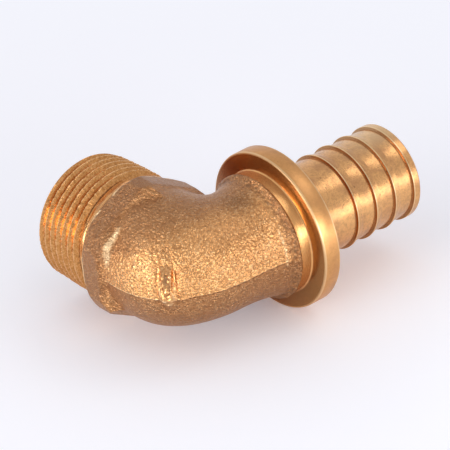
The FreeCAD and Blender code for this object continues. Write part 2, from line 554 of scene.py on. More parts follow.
    def gate(self) -> Piece:
        """Stands the gate's low stump on the bend's outer corner.

        Returns:
            The closed stump.
        """
        piece = Bench.start("gate", bpy.ops.mesh.primitive_cube_add, size=1.0, location=(0.0, 0.0, 0.0))
        turned = math.radians(self.gate_angle)
        outward = Vector((math.cos(turned), math.sin(turned), 0.0))
        middle = self.corner_centre + outward * (self.corner_radius - self.gate_sink)
        spot = place((middle.x, middle.y, self.gate_lift))
        Bench.edit(piece, "FACE")
        bpy.ops.transform.resize(value=Vector(self.gate_size) * MM, center_override=(0.0, 0.0, 0.0))
        Bench.pick(piece, "FACE", lambda face: face.normal.x > 0.9)
        narrowed = (1.0, self.gate_taper, self.gate_taper)
        bpy.ops.transform.resize(value=narrowed, center_override=(0.0, 0.0, 0.0))
        Bench.select_all()
        Bench.carry(piece, Matrix.Translation(spot) @ Matrix.Rotation(turned, 4, "Z"))
        Bench.weld()
        Bench.clear()
        return piece

    def core(self) -> Piece:
        """Shapes the sand core that leaves the waterway.

        Returns:
            The closed core.
        """
        piece = Bench.start(
            "core", bpy.ops.mesh.primitive_circle_add, vertices=64, radius=self.core_radius * MM,
            fill_type="NOTHING", rotation=(QUARTER_TURN, 0.0, 0.0),
            location=place((0.0, self.core_start, 0.0)),
        )
        Bench.edit(piece, "EDGE")
        shift = Vector((0.0, self.core_bend - self.core_start, 0.0))
        Bench.carry(piece, Matrix.Translation(shift * MM))
        turning = place((self.core_bend, self.core_bend, 0.0))
        bpy.ops.mesh.spin(steps=24, angle=-QUARTER_TURN, center=turning, axis=(0.0, 0.0, 1.0))
        for arm, rings in ((Arm.NIPPLE, self.nipple_core), (Arm.THREAD, self.thread_core)):
            axis, mouth = Vector(arm.value), on_arm(arm, self.core_bend, 0.0)
            Bench.pick(
                piece, "EDGE",
                lambda e: e.is_boundary and all(abs((v.co - mouth).dot(axis)) < 0.01 * MM for v in e.verts),
            )
            for along, radius in rings:
                Bench.draw_ring(piece, arm, along, radius)
            bpy.ops.mesh.edge_face_add()
        Bench.weld()
        Bench.clear()
        return piece

    def gate_frame(self, points: np.ndarray) -> tuple[np.ndarray, np.ndarray, np.ndarray]:
        """Measures points from the gate.

        Args:
            points: One row of three coordinates a point.

        Returns:
            Distances sideways, upward and outward.
        """
        turned = math.radians(self.gate_angle)
        flat = points[:, :2] - np.array(self.corner_centre[:2])
        sideways = flat @ np.array((-math.sin(turned), math.cos(turned)))
        outward = flat @ np.array((math.cos(turned), math.sin(turned)))
        return sideways, points[:, 2], outward - self.corner_radius

    def above_seam(self, points: np.ndarray) -> np.ndarray:
        """Height of each point above the parting seam, which lies lower on the thread's side."""
        sideways, upward, _ = self.gate_frame(points)
        return upward + self.seam_step * (1.0 - ramp(sideways, 1.2, 6.2))

    def refine(self, piece: Piece) -> None:
        """Divides the faces round the gate and along the parting seam once more.

        Args:
            piece: The remeshed casting.
        """
        Bench.edit(piece, "FACE")
        mesh = bmesh.from_edit_mesh(piece.data)
        middles = np.array([face.calc_center_median() for face in mesh.faces]) / MM
        middles[:, 1] += GAUGE_PLANE
        sideways, upward, outward = self.gate_frame(middles)
        gate = (np.abs(sideways) < 2.4) & (upward > -2.4) & (upward < 7.6) & (outward > -4.0)
        seam = (np.abs(self.above_seam(middles)) < 0.42) & (middles[:, 1] < 9.0) & (middles[:, 0] < 15.5)
        wanted = gate | seam
        Bench.pick(piece, "FACE", lambda face: wanted[face.index])
        bpy.ops.mesh.subdivide(number_cuts=1)
        Bench.clear()

    def gate_relief(self, points: np.ndarray) -> np.ndarray:
        """Works out the broken gate: a ragged loop round a pitted face, and a lobe on each side.

        Args:
            points: The casting's points.

        Returns:
            The rise of each point.
        """
        sideways, upward, outward = self.gate_frame(points)
        lift = upward - self.gate_middle
        ragged = cloud(points, 1.8, 4.4) * 0.15 + cloud(points, 0.7, 9.1) * 0.06
        loop = np.hypot((sideways + 0.06 * lift + 0.1) / (1.30 - 0.05 * lift), lift / 4.0) + ragged
        rough = cloud(points, 0.8, 2.2)
        fade = 1.0 - 0.55 * ramp(upward, 4.0, 6.0) - 0.25 * ramp(upward, -0.4, -1.2)
        rise = 0.23 * fade * bell(loop, 1.0, 0.18) * (1.0 + rough)
        rise -= 0.20 * ramp(loop, 0.82, 0.60) * (1.0 + 0.9 * rough)
        rise -= 0.14 * bell(loop, 1.48, 0.15)
        rise += 0.42 * np.clip(cloud(points, 0.75, 6.6) + 0.02, 0.0, 1.0) * ramp(loop, 0.8, 0.6)
        lobe = ramp(upward, 0.2, 2.2) * ramp(upward, 8.2, 5.2) * (outward > -6.0)
        side = bell(sideways, 2.7, 0.62) + 0.45 * bell(sideways, -2.5, 0.6)
        return rise * (outward > -4.5) + 0.30 * lobe * side

    def relief(self, piece: Piece) -> None:
        """Gives the casting its grain, its stepped seam, the fold behind the boss and the gate, and keeps
        painted highlights and painted shade at its points.

        Args:
            piece: The casting.
        """
        points, normals = points_of(piece), normals_of(piece)
        sideways, upward, outward = self.gate_frame(points)
        above = self.above_seam(points)
        x, y, z = points.T

        # Sand grain, coarser on the nipple's side of the gate and at the lip. There its tops get painted
        # glints and its hollows painted shade, a lighter streak is painted on the low side, and the lip is
        # painted darker.
        coarse = ramp(np.abs(sideways - 5.0), 6.5, 0.0) * ramp(upward, -1.0, 0.5) * (outward > -6.0)
        lip = ramp(x, 13.0, 15.2)
        boss = ramp(y, 10.6, 11.6)
        stump = ramp(np.abs(sideways), 1.9, 1.4) * ramp(upward, -1.9, -1.2) * ramp(upward, 6.9, 5.1)
        amount = 0.042 + 0.050 * coarse + 0.095 * lip - 0.02 * ramp(above, 0.1, -0.7) - 0.012 * boss
        grain = (pebbles(points, 0.85, 3.1) - 0.45) * 0.7 + cloud(points, 0.75, 7.7) * 0.6
        swell = cloud(points, 5.5, 1.3) * 0.08 * (1.0 - boss * 0.5)
        rise = grain * amount * (1.0 - 0.8 * stump) + swell
        painted_light = np.where(grain > 0.0, 1.6, 0.8) * grain * (lip + 0.30 * coarse) * (1.0 - stump)
        low_side = ramp(y, -5.0, -8.0) * ramp(z, 8.0, 6.0) * ramp(z, -2.0, 0.0)
        painted_light += 0.60 * low_side * bell(x, 14.2, 0.42) - 0.26 * ramp(x, 14.5, 15.7)

        # Parting seam: a step over a crack, with a painted highlight along the step and painted shade in the
        # crack.
        outer = ramp(y, 11.0, 9.8) * (x < 16.2) * ramp(np.maximum(x, y), 16.0, 12.0)
        left_side = ramp(sideways, 1.5, -2.5)
        ledge = ramp(above, 0.02, 0.18) * ramp(above, 3.2, 0.2)
        lit, crack = bell(above, 0.20, 0.14), bell(above, -0.02, 0.12)
        rise += outer * ((0.11 + 0.10 * left_side) * ledge + 0.05 * lit - 0.12 * crack)
        painted_light += outer * ((0.45 + 0.45 * left_side) * lit - crack)

        # Fold behind the boss, with a painted highlight on its ridge and painted shade in its valley, and a
        # painted highlight along the boss's front edge.
        around = np.degrees(np.arctan2(z + self.boss_drop, x)) % 360.0
        fold = ramp(around, 124.0, 138.0) * ramp(around, 182.0, 156.0)
        crest = 9.6 + 0.3 * ((around - 150.0) / 30.0) ** 2
        ridge, valley = fold * bell(y, crest, 0.80), fold * bell(y, crest + 1.5, 0.50)
        rise += 0.26 * ridge - 0.16 * valley
        painted_light += (0.85 + 0.6 * grain) * ridge - 0.45 * valley
        painted_light += 1.1 * ramp(y, 16.0, 16.14) * (np.hypot(x, z) > 13.3)

        broken = self.gate_relief(points)
        rise += broken
        # Painted highlights on the broken gate's raised rim and bits, painted shade in its pits and grooves.
        painted_light += np.where(broken > 0.0, 2.1, 2.6) * broken * (0.4 + 0.6 * (np.abs(sideways) < 2.2))
        set_points(piece, points + normals * rise[:, None])
        # Under the seam, where the finish is duller and the colour partly painted shade.
        below = ramp(above, 0.12, -0.10) * ramp(y, 11.2, 9.6)
        for name, values in (("painted_light", np.clip(painted_light, -1.0, 1.0)), ("below", below), ("stump", stump)):
            layer = piece.data.attributes.new(name, "FLOAT", "POINT")
            layer.data.foreach_set("value", values.astype(np.float32))

    def make(self, finish: bpy.types.Material) -> Piece:
        """Makes the casting.

        Args:
            finish: The casting's material.

        Returns:
            The finished piece.
        """
        lip = Bench.turn("lip", Arm.NIPPLE, self.lip_line, 96)
        piece = Bench.join([self.bend(), self.boss(), lip, self.gate()])
        Bench.apply(piece, "REMESH", mode="VOXEL", voxel_size=self.voxel * MM, adaptivity=0.0)
        Bench.apply(piece, "SMOOTH", factor=0.5, iterations=4)
        self.refine(piece)
        self.relief(piece)
        Bench.cut(piece, "DIFFERENCE", self.core())
        ride_on_root(piece, finish, 50.0)
        return piece


@dataclass(frozen=True)
class ThreadArm:
    """The turned arm: ring at the boss, relief groove, cut pipe thread and the bore."""

    arm_length: float = 31.9
    gauge_radius: float = 13.22
    taper_start: float = 24.0
    taper: float = 1.0 / 32.0
    pitch: float = 1.814
    depth: float = 1.162
    crest_flat: float = 0.16
    root_flat: float = 0.12
    flank_shares: tuple = (0.0, 0.3, 0.6, 0.82, 0.93, 1.0)
    least_radius: float = 11.0
    inner_end: float = 14.9
    boss_face: float = 16.5
    relief_end: float = 18.55
    ramp_end: float = 19.25
    relief_radius: float = 12.07
    chamfer_start: float = 30.9
    mouth_radius: float = 12.22
    mouth_chamfer: float = 0.45
    bore_radius: float = 9.3
    steps: int = 720
    tube_steps: int = 288

    def crest_at(self, along: np.ndarray) -> np.ndarray:
        """Crest radius at distances along the arm, before its ends are trimmed."""
        return self.gauge_radius - self.taper * np.maximum(0.0, along - self.taper_start)

    def limit_at(self, along: np.ndarray) -> np.ndarray:
        """Largest radius that the relief ramp and the mouth chamfer leave.

        Args:
            along: Distances along the arm.

        Returns:
            The radii.
        """
        climb = np.maximum(0.0, (along - self.relief_end) / (self.ramp_end - self.relief_end))
        start = self.relief_radius + (self.gauge_radius - self.relief_radius) * climb
        top = self.crest_at(np.array(self.chamfer_start))
        share = np.maximum(0.0, (along - self.chamfer_start) / (self.arm_length - self.chamfer_start))
        return np.minimum(start, np.where(share > 0.0, top + (self.mouth_radius - top) * share, np.inf))

    def tooth(self) -> list[tuple[float, float]]:
        """Draws one tooth of the thread.

        Returns:
            Distances along and depths below the crest, over one pitch.
        """
        half_root = self.root_flat / 2.0
        flank = (self.pitch - self.crest_flat - self.root_flat) / 2.0
        rising = [(half_root + flank * share, self.depth * (1.0 - share)) for share in self.flank_shares]
        falling = [(self.pitch - along, deep) for along, deep in reversed(rising)]
        return [(0.0, self.depth), *rising, *falling, (self.pitch, self.depth)]

    def helix(self) -> Piece:
        """Winds the tooth into a helix that runs past both ends of the thread.

        Returns:
            The open helix.
        """
        start = self.relief_end - 1.5 * self.pitch
        turns = math.ceil((self.arm_length - start) / self.pitch) + 1
        spots = [on_arm(Arm.THREAD, start + along, self.gauge_radius - deep) for along, deep in self.tooth()]
        piece = Bench.draw_section("threaded_arm", spots)
        Bench.apply(
            piece, "SCREW", axis="Y", angle=FULL_TURN, screw_offset=self.pitch * MM, iterations=turns,
            steps=self.steps, render_steps=self.steps, use_merge_vertices=True, merge_threshold=DOUBLED,
        )
        return piece

    def serrate(self, points: np.ndarray) -> np.ndarray:
        """Works out the chatter of the thread tool and the notches in the crests.

        Args:
            points: The helix's points.

        Returns:
            The depth to take off each point.
        """
        x, y, z = points.T
        radius = np.hypot(x, z)
        around = np.arctan2(x, z) * self.gauge_radius
        high = ramp(radius, self.gauge_radius - self.depth, self.gauge_radius)
        notch = cloud(np.stack([around / 0.42, y / 1.6, radius * 0.2], axis=1), 1.0)
        drift = cloud(np.stack([around / 1.9, y / 2.5, radius * 0.1 + 5.0], axis=1), 1.0)
        return high**3 * (0.05 + 0.13 * np.clip(notch, -0.5, 1.0) + 0.05 * drift)

    def tube(self) -> Piece:
        """Turns the arm's plain part: mouth edge, bore, foot, ring and relief groove.

        Returns:
            The tube, open at both ends.
        """
        bore, face, groove = self.bore_radius, self.boss_face, self.relief_radius
        line = (
            (self.arm_length, bore + self.mouth_chamfer), (self.arm_length - self.mouth_chamfer, bore),
            (self.taper_start, bore), (self.inner_end, bore), (self.inner_end, 12.0), (face, 12.0),
            (face, 12.9), (face + 0.12, 13.05), (face + 0.3, 13.12), (face + 0.54, 13.12),
            (face + 0.7, 13.05), (face + 0.78, 12.85), (face + 0.75, groove),
            (self.relief_end - 0.12, groove),
        )
        return Bench.turn("thread_tube", Arm.THREAD, line, self.tube_steps)

    def make(self, finish: bpy.types.Material) -> Piece:
        """Makes the thread arm.

        Args:
            finish: The arm's material.

        Returns:
            The finished piece.
        """
        piece = self.helix()
        points = points_of(piece)
        radius = np.hypot(points[:, 0], points[:, 2])
        deep = self.gauge_radius - radius + np.maximum(0.0, self.serrate(points))
        wanted = np.minimum(self.crest_at(points[:, 1]) - deep, self.limit_at(points[:, 1]))
        points[:, ::2] *= (np.maximum(wanted, self.least_radius) / radius)[:, None]
        set_points(piece, points)
        Bench.edit(piece, "EDGE")
        for along, normal in ((self.arm_length, 1.0), (self.relief_end, -1.0)):
            Bench.select_all()
            bpy.ops.mesh.remove_doubles(threshold=DOUBLED)
            bpy.ops.mesh.bisect(
                plane_co=on_arm(Arm.THREAD, along, 0.0), plane_no=(0.0, normal, 0.0),
                use_fill=False, clear_outer=True, threshold=0.0001 * MM,
            )
        Bench.select_all()
        bpy.ops.mesh.remove_doubles(threshold=DOUBLED)
        Bench.pick(piece, "EDGE", lambda e: e.is_boundary)
        bpy.ops.mesh.remove_doubles(threshold=0.03 * MM)
        piece = Bench.join([piece, self.tube()])
        Bench.edit(piece, "EDGE")
        mouth = on_arm(Arm.THREAD, self.arm_length, 0.0).y
        Bench.pick(
            piece, "EDGE", lambda e: e.is_boundary and all(abs(v.co.y - mouth) < 0.01 * MM for v in e.verts)
        )
        bpy.ops.mesh.fill(use_beauty=True)
        Bench.pick(piece, "EDGE", lambda e: e.is_boundary)
        bpy.ops.mesh.bridge_edge_loops()
        log.info("open edges: %d", Bench.pick(piece, "EDGE", lambda e: not e.is_manifold))
        Bench.weld()
        Bench.clear()
        ride_on_root(piece, finish, 25.0)
        return piece


@dataclass(frozen=True)
class NippleTurning:
    """The turned end: band, stop collar, root, barrel with its ribs, and the bore."""

    arm_length: float = 50.5
    inner_end: float = 12.5
    inner_radius: float = 9.4
    band_start: float = 17.0
    band_radius: float = 12.65
    collar_face: float = 19.6
    collar_back: float = 23.5
    collar_radius: float = 16.39
    root_radius: float = 9.85
    barrel_radius: float = 9.45
    rib_radius: float = 9.98
    rib_pitch: float = 4.92
    rib_count: int = 4
    rib_slope: float = 1.75
    last_rib_to_mouth: float = 1.8
    bore_radius: float = 7.3
    mouth_chamfer: float = 0.45
    steps: int = 288

    @property
    def first_rib(self) -> float:
        """Place of the first rib's crest along the arm."""
        return self.arm_length - self.last_rib_to_mouth - self.rib_pitch * (self.rib_count - 1)

    def line(self) -> list[tuple[float, float]]:
        """Draws the closed section line.

        Returns:
            Distances along the arm and radii, round the wall once and back to the first.
        """
        face, back, end = self.collar_face, self.collar_back, self.arm_length
        band, rim, root, barrel = self.band_radius, self.collar_radius, self.root_radius, self.barrel_radius
        rib, bore, start = self.rib_radius, self.bore_radius, (self.inner_end, self.bore_radius)
        line = [
            start, (self.inner_end, self.inner_radius), (self.band_start, self.inner_radius),
            (self.band_start, band - 0.1), (self.band_start + 0.1, band), (face - 0.35, band),
            (face - 0.2, band + 0.06), (face - 0.06, band + 0.2), (face, band + 0.4),
            (face, rim - 0.34), (face + 0.1, rim - 0.1), (face + 0.34, rim), (back - 0.3, rim),
            (back - 0.09, rim - 0.09), (back, rim - 0.3), (back, root + 0.25), (back + 0.08, root + 0.08),
            (back + 0.25, root), (back + 1.85, root), (back + 1.95, root - 0.05),
            (back + 2.2, barrel + 0.06), (back + 2.4, barrel),
        ]
        for index in range(self.rib_count):
            top = self.first_rib + self.rib_pitch * index
            line += [(top - 0.26, barrel), (top - 0.2, barrel + 0.03)]
            line += [(top - 0.06, rib - 0.06), (top + 0.02, rib)]
            if index < self.rib_count - 1:
                foot = top + self.rib_slope
                line += [(top + 0.3, rib - 0.03), (foot - 0.25, barrel + 0.06), (foot + 0.1, barrel)]
        line += [
            (end - 0.45, rib), (end - 0.3, rib - 0.07), (end, rib - 0.38),
            (end, bore + self.mouth_chamfer), (end - self.mouth_chamfer, bore), (30.0, bore), start,
        ]
        return line

    def make(self, finish: bpy.types.Material) -> Piece:
        """Makes the nipple.

        Args:
            finish: Its material.

        Returns:
            The finished piece.
        """
        piece = Bench.turn("nipple_turning", Arm.NIPPLE, self.line(), self.steps)
        ride_on_root(piece, finish, 25.0)
        return piece


class Sheet:
    """Node sheet of one finish or of the sky: adds nodes and joins them."""

    def __init__(self, name: str, sky: bool = False) -> None:
        """Starts an empty sheet.

        Args:
            name: The finish's name.
            sky: Whether it is the sky's sheet.
        """
        self.material = bpy.data.worlds.new(name) if sky else bpy.data.materials.new(name)
        self.material.use_nodes = True
        self.tree = self.material.node_tree
        self.tree.nodes.clear()

    def feed(self, socket: Socket, value: object) -> None:
        """Links a socket to another, or sets its value.

        Args:
            socket: The input to fill.
            value: Another socket, a number or a colour.
        """
        if isinstance(value, Socket):
            self.tree.links.new(value, socket)
        else:
            socket.default_value = value

    def add(self, kind: str, settings: dict | None = None, **inputs: object) -> bpy.types.Node:
        """Adds one node.

        Args:
            kind: The node's type after ShaderNode.
            settings: Its own values by name.
            **inputs: Its inputs, with _ for a space in a name.

        Returns:
            The new node.
        """
        node = self.tree.nodes.new("ShaderNode" + kind)
        for name, value in (settings or {}).items():
            setattr(node, name, value)
        for name, value in inputs.items():
            self.feed(node.inputs[name.replace("_", " ")], value)
        return node

    def chain(self, kind: str, *values: object, **settings: object) -> bpy.types.Node:
        """Adds one node and fills its inputs in order.

        Args:
            kind: The node's type after ShaderNode.
            *values: What its inputs get.
            **settings: Its own values by name.

        Returns:
            The new node.
        """
        node = self.add(kind, settings)
        for socket, value in zip(node.inputs, values):
            self.feed(socket, value)
        return node

    def sum(self, operation: str, *values: object) -> Socket:
        """Works one sum on the first value with each of the others in turn.

        Args:
            operation: The sum, such as ADD or MULTIPLY.
            *values: Its numbers or sockets in order.

        Returns:
            The result's socket, or the value itself where there is only one.
        """
        result = values[0]
        for value in values[1:]:
            result = self.chain("Math", result, value, operation=operation).outputs[0]
        return result

    def plus(self, *values: object) -> Socket:
        """Adds values up."""
        return self.sum("ADD", *values)

    def minus(self, *values: object) -> Socket:
        """Takes the other values from the first."""
        return self.sum("SUBTRACT", *values)

    def times(self, *values: object) -> Socket:
        """Multiplies values."""
        return self.sum("MULTIPLY", *values)

    def between(self, value: object, low: float, high: float) -> Socket:
        """Eases a value from 0 at low to 1 at high."""
        smooth = {"interpolation_type": "SMOOTHSTEP"}
        return self.add("MapRange", smooth, Value=value, From_Min=low, From_Max=high).outputs[0]

    def strip(self, value: object, start: float, full: float, fade: float, end: float) -> Socket:
        """Eases a value up from start to full and down again from fade to end."""
        return self.times(self.between(value, start, full), self.between(value, end, fade))

    def blend(self, colour: object, paint: object, *shares: object) -> Socket:
        """Lays one colour over another.

        Args:
            colour: The colour below, or its socket.
            paint: The colour above, or its socket.
            *shares: Shares that together say how much of the upper one shows.

        Returns:
            The mixed colour's socket.
        """
        node = self.add("Mix", {"data_type": "RGBA"})
        layers = (("Factor_Float", self.times(*shares)), ("A_Color", colour), ("B_Color", paint))
        for name, value in layers:
            self.feed(next(s for s in node.inputs if s.identifier == name), value)
        return next(s for s in node.outputs if s.identifier == "Result_Color")

    def position(self) -> Socket:
        """Finds the place on the object.

        Returns:
            The position socket, in millimetres from the crossing.
        """
        shift, scale = (0.0, GAUGE_PLANE, 0.0), (1.0 / MM,) * 3
        own = self.add("TexCoord").outputs["Object"]
        return self.add("Mapping", Vector=own, Location=shift, Scale=scale).outputs[0]

    def split(self, where: object) -> tuple[Socket, ...]:
        """The three parts of a position."""
        return tuple(self.add("SeparateXYZ", Vector=where).outputs)

    def attribute(self, name: str) -> Socket:
        """A value that the mesh carries at its points."""
        return self.add("Attribute", {"attribute_name": name}).outputs["Fac"]

    def grain(self, where: object, scale: float, detail: float, twist: float) -> Socket:
        """Adds a cloudy noise.

        Args:
            where: The position socket.
            scale: Lumps a millimetre.
            detail: Number of finer layers.
            twist: How far the lumps are pulled about.

        Returns:
            The noise's socket.
        """
        return self.add(
            "TexNoise", Vector=where, Scale=scale, Detail=detail, Roughness=0.55, Distortion=twist
        ).outputs["Fac"]

    def warp(self, where: object, scale: float, pull: float) -> Socket:
        """Pulls a position about, so that what is placed by it has a ragged outline.

        Args:
            where: The position socket.
            scale: Lumps a millimetre of the pull.
            pull: How far it moves, in millimetres.

        Returns:
            The moved position's socket.
        """
        lumps = self.add("TexNoise", Vector=where, Scale=scale, Detail=3.0).outputs["Color"]
        centred = self.chain("VectorMath", lumps, (0.5, 0.5, 0.5), operation="SUBTRACT").outputs[0]
        pulled = self.add("VectorMath", {"operation": "SCALE"}, Vector=centred, Scale=pull).outputs[0]
        return self.chain("VectorMath", where, pulled, operation="ADD").outputs[0]

    def facing(self, way: object, towards: Sequence[float], low: float, high: float) -> Socket:
        """Share to which a direction turns towards another, between two cosines."""
        turned = self.chain("VectorMath", way, Vector(towards).normalized(), operation="DOT_PRODUCT")
        return self.between(turned.outputs["Value"], low, high)

    def near(self, where: object, spot: Sequence[float], reach: float) -> Socket:
        """Soft round patch, 1 at its middle spot and 0 at its reach."""
        gap = self.chain("VectorMath", where, spot, operation="DISTANCE")
        return self.between(gap.outputs["Value"], reach, 0.0)

    def end(self, surface: Socket, kind: str = "Material") -> None:
        """Joins the last shader to the sheet's output."""
        self.add("Output" + kind, Surface=surface)

    def metal(self, colour: object, roughness: object, height: object, depth: float, strength: float) -> None:
        """Ends the sheet in a bare metal surface.

        Args:
            colour: The colour's socket.
            roughness: The roughness socket.
            height: The relief's socket, from 0 to 1.
            depth: Depth of the relief in millimetres.
            strength: Share of the relief that is used.
        """
        bump = self.add("Bump", Height=height, Distance=depth * MM, Strength=strength).outputs[0]
        surface = self.add(
            "BsdfPrincipled", Base_Color=colour, Roughness=roughness, Metallic=1.0,
            Coat_Weight=0.08, Coat_Roughness=0.2, Normal=bump,
        )
        self.end(surface.outputs[0])


class LatheSheet(Sheet):
    """Sheet of a turned finish, with the place along the arm and the distance from its axis."""

    def __init__(self, name: str, arm: Arm) -> None:
        """Starts the sheet.

        Args:
            name: The finish's name.
            arm: The arm that the piece was turned on.
        """
        super().__init__(name)
        self.where = self.position()
        self.x, self.y, self.z = self.split(self.where)
        self.along, side = (self.x, self.y) if arm is Arm.NIPPLE else (self.y, self.x)
        squared = self.plus(self.times(side, side), self.times(self.z, self.z))
        self.radius = self.chain("Math", squared, operation="SQRT").outputs[0]


@dataclass(frozen=True)
class SandCastBrass:
    """Brass as it leaves the sand: wrinkled grain, golden where rubbed and brown where not, with painted
    glints on its grain and painted highlights and painted shade at its ridges, edges, seam and pits.
    """

    painted_glint: tuple = (1.0, 0.70, 0.39, 1.0)
    rubbed: tuple = (0.84, 0.42, 0.16, 1.0)
    brown: tuple = (0.60, 0.285, 0.105, 1.0)
    grey: tuple = (0.43, 0.205, 0.09, 1.0)
    smudge_and_shade: tuple = (0.20, 0.10, 0.05, 1.0)
    hollow: tuple = (0.36, 0.15, 0.055, 1.0)
    smudge_spot: tuple = (11.4, -1.8, 10.4)
    smudge_reach: float = 4.8
    grain_depth: float = 0.25

    def make(self) -> bpy.types.Material:
        """Makes the finish.

        Returns:
            The material.
        """
        sheet = Sheet("sand_cast_brass")
        where = sheet.position()
        x, y, z = sheet.split(where)
        below, painted_light, stump = (sheet.attribute(name) for name in ("below", "painted_light", "stump"))
        worms = sheet.grain(where, 1.7, 2.5, 1.5)
        cells = sheet.add("TexVoronoi", {"feature": "SMOOTH_F1"}, Vector=where, Scale=1.9, Smoothness=0.4)
        lumps = sheet.minus(worms, sheet.times(cells.outputs["Distance"], 0.55))
        lumps = sheet.plus(lumps, sheet.times(sheet.grain(where, 5.5, 1.0, 0.4), 0.12))
        valleys, peaks = sheet.between(lumps, 0.30, 0.12), sheet.between(lumps, 0.32, 0.52)

        # Duller and greyer under the seam, on the boss and at the lip, and under the seam partly as painted
        # shade. On the upper thread side the grey is painted shade, where less light falls.
        drift = sheet.times(sheet.minus(sheet.grain(where, 0.5, 2.0, 0.6), 0.5), 2.2)
        boss = sheet.between(sheet.plus(y, drift), 9.4, 11.6)
        shaded_upper = sheet.between(sheet.plus(sheet.times(z, 0.8), sheet.times(y, 0.6), drift), 5.5, 10.5)
        lip = sheet.between(sheet.plus(x, sheet.times(drift, 0.2)), 14.0, 16.2)
        shares = ((below, 0.74), (boss, 0.92), (shaded_upper, 0.66), (lip, 0.5))
        dull_and_shade = sheet.sum("MAXIMUM", *(sheet.times(*share) for share in shares))

        patches = sheet.between(sheet.grain(where, 0.16, 3.0, 0.3), 0.38, 0.62)
        blotch = sheet.between(sheet.grain(where, 0.9, 3.0, 0.8), 0.42, 0.60)
        smudge = sheet.near(sheet.warp(where, 0.35, 3.4), self.smudge_spot, self.smudge_reach)
        body = self.rubbed
        for paint, *shares in (
            (self.brown, patches, 0.5),
            (self.grey, dull_and_shade),
            (self.hollow, blotch, dull_and_shade, 0.5),
            (self.smudge_and_shade, smudge, 0.62),
            (self.hollow, valleys, 0.42),
            # Painted glints on the grain's peaks.
            (self.painted_glint, peaks, sheet.minus(0.34, sheet.times(dull_and_shade, 0.22))),
            # Painted highlights and painted shade that the relief keeps at the points.
            (self.painted_glint, sheet.between(painted_light, 0.15, 0.9)),
            (self.smudge_and_shade, sheet.between(painted_light, -0.15, -0.9), 0.75),
        ):
            body = sheet.blend(body, paint, *shares)
        roughness = sheet.minus(sheet.plus(0.27, sheet.times(dull_and_shade, 0.07)), sheet.times(peaks, 0.06))
        calm = sheet.between(z, 4.5, 9.0)
        amount = sheet.plus(sheet.minus(1.0, sheet.times(calm, 0.15)), sheet.times(dull_and_shade, 0.9))
        amount = sheet.times(amount, sheet.minus(1.0, sheet.times(stump, 0.65)))
        sheet.metal(body, roughness, sheet.times(lumps, amount), self.grain_depth, 1.0)
        return sheet.material


@dataclass(frozen=True)
class TurnedBrass:
    """Brass off the lathe: fine rings, satin, speckled with small pits and faint stains."""

    name: str
    arm: Arm
    bright: tuple = (0.90, 0.48, 0.19, 1.0)
    tanned: tuple = (0.72, 0.37, 0.16, 1.0)
    stained: tuple = (0.60, 0.30, 0.12, 1.0)
    # Real small pits; also painted shade in the collar's corner and on the ribs' steep faces.
    pits_and_shade: tuple = (0.36, 0.17, 0.07, 1.0)
    gloss: float = 0.17
    rings_depth: float = 0.012

    def tint(self, sheet: LatheSheet, colour: object) -> object:
        """Leaves the colour as it is, unless a finish tints it by its place."""
        return colour

    def polish(self, sheet: LatheSheet, roughness: object) -> object:
        """Leaves the roughness as it is, unless a finish is duller somewhere."""
        return roughness

    def make(self) -> bpy.types.Material:
        """Makes the finish.

        Returns:
            The material.
        """
        sheet = LatheSheet(self.name, self.arm)
        where = sheet.where
        lathe = sheet.add("CombineXYZ", X=sheet.along, Y=sheet.radius).outputs[0]
        rings = sheet.grain(lathe, 6.0, 2.0, 0.0)
        specks = sheet.grain(where, 2.6, 3.0, 0.5)
        colour = self.bright
        for paint, *shares in (
            (self.tanned, sheet.between(sheet.grain(where, 0.34, 4.0, 0.8), 0.42, 0.66)),
            (self.stained, sheet.between(sheet.grain(where, 1.15, 3.0, 0.6), 0.46, 0.64), 0.36),
            (self.stained, sheet.between(specks, 0.50, 0.66), 0.55),
            (self.pits_and_shade, sheet.between(sheet.grain(where, 1.9, 1.0, 0.0), 0.30, 0.20), 0.8),
        ):
            colour = sheet.blend(colour, paint, *shares)
        colour = self.tint(sheet, colour)
        roughness = self.polish(sheet, sheet.plus(self.gloss, sheet.times(specks, 0.14)))
        height = sheet.plus(rings, sheet.times(specks, 1.4))
        sheet.metal(colour, roughness, height, self.rings_depth, 0.6)
        return sheet.material


